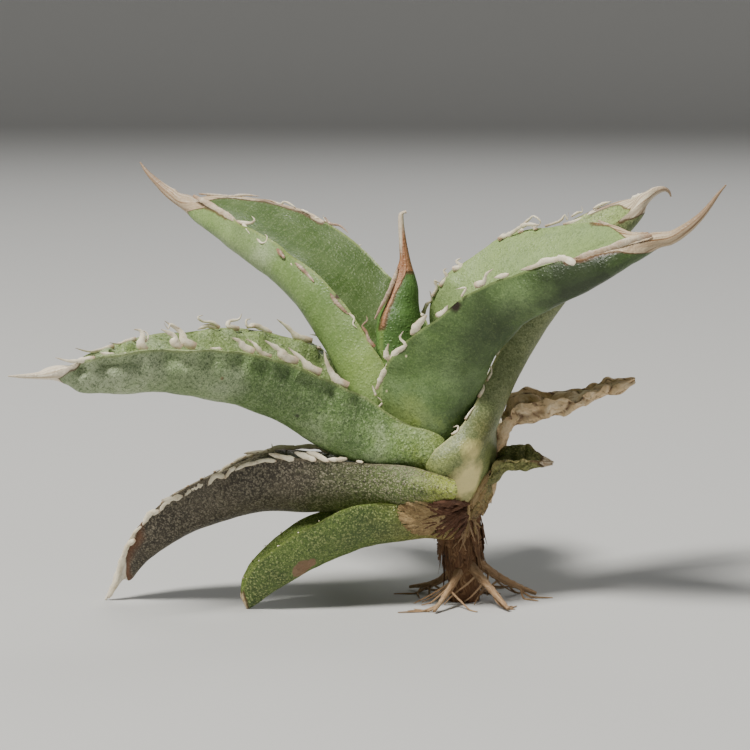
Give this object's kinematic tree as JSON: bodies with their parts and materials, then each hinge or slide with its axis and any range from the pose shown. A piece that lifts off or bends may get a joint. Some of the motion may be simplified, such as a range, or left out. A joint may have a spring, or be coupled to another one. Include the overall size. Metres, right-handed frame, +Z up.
{
  "type": "bare-rooted agave plant",
  "caption": "Young succulent rosette of thick toothed leaves ending in pale spines, on a short rooted stem, with no pot.",
  "frame": {"origin": "on the surface that the plant stands on, under the middle of its bounding box", "axes": "+X to the right of the picture, along the longest extent; +Y away from the viewer; +Z up"},
  "size_m": [0.113, 0.0772, 0.0715],
  "materials": {
    "leaf_fresh": "satin living leaf skin",
    "leaf_glaucous": "matte leaf skin with waxy bloom",
    "leaf_pale": "satin pale leaf skin",
    "leaf_bronzed": "matte bronzed leaf skin",
    "leaf_speckled": "satin speckled leaf skin",
    "leaf_withered": "wrinkled withering leaf",
    "leaf_dry": "dry papery leaf",
    "stem_bark": "fibrous, matte",
    "root": "wiry dry root"
  },
  "bodies": {
    "root": {"stem": "stem_bark", "centre_bud_leaf": "leaf_fresh", "upper_left_leaf": "leaf_fresh", "right_broad_leaf": "leaf_glaucous", "left_broad_leaf": "leaf_glaucous", "right_back_leaf": "leaf_pale", "back_leaf_right": "leaf_fresh", "back_leaf_left": "leaf_glaucous", "grey_drooping_leaf": "leaf_bronzed", "lowest_green_leaf": "leaf_speckled", "small_withered_leaf": "leaf_withered", "dry_brown_leaf": "leaf_dry", "root_front_right": "root", "root_right": "root", "root_back": "root", "root_back_left": "root", "root_front": "root"}
  },
  "joints": []
}
